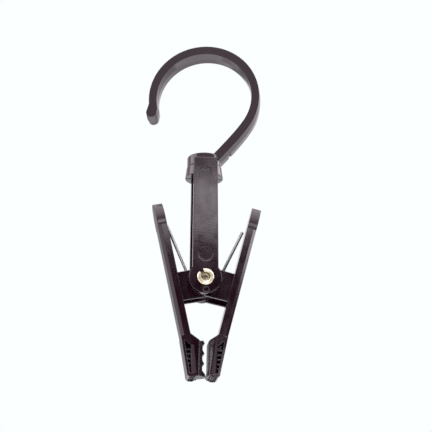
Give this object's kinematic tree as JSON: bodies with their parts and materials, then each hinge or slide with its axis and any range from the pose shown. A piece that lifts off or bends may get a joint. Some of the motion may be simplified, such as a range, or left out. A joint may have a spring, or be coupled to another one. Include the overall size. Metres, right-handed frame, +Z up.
{
  "type": "hanging spring clip",
  "caption": "Hanging clip: a swivel hook above a two-arm yoke, and two sprung levers on a rivet whose padded jaws hold whatever is hung from it.",
  "frame": {"origin": "top of the hook's inside, where the hanging clip rests on a rail or pin", "axes": "+Z up along the clip, +X to the right from jaw to jaw, the rivet and both jaw hinges along Y"},
  "size_m": [0.0498, 0.0201, 0.1465],
  "materials": {
    "plastic": "moulded, glossy, dark brown-black",
    "pad": "moulded, satin",
    "nickel": "nickel plated, rolled",
    "spring_steel": "bright drawn wire"
  },
  "bodies": {
    "hook": {"hook": "plastic"},
    "yoke": {"yoke_front_half": "plastic", "yoke_rear_half": "plastic"},
    "left_lever": {"left_jaw": "plastic", "left_grip_pad": "pad", "spring_left_half": "spring_steel", "pivot_rivet": "nickel"},
    "right_lever": {"right_jaw": "plastic", "right_grip_pad": "pad", "spring_right_half": "spring_steel"}
  },
  "joints": [
    {"name": "hook_swivel", "type": "hinge", "parent": "hook", "child": "yoke", "pos_m": [0, 0, -0.055], "axis": [0, 0, 1], "continuous": true},
    {"name": "clamp_swing", "type": "hinge", "parent": "yoke", "child": "left_lever", "pos_m": [0, 0, -0.1026], "axis": [0, 1, 0], "range_deg": [-90, 90]},
    {"name": "jaw_opening", "type": "hinge", "parent": "left_lever", "child": "right_lever", "pos_m": [0, 0, -0.1026], "axis": [0, -1, 0], "range_deg": [0, 32], "stiffness_Nm_per_rad": 0.04, "springref_deg": -34.38}
  ]
}
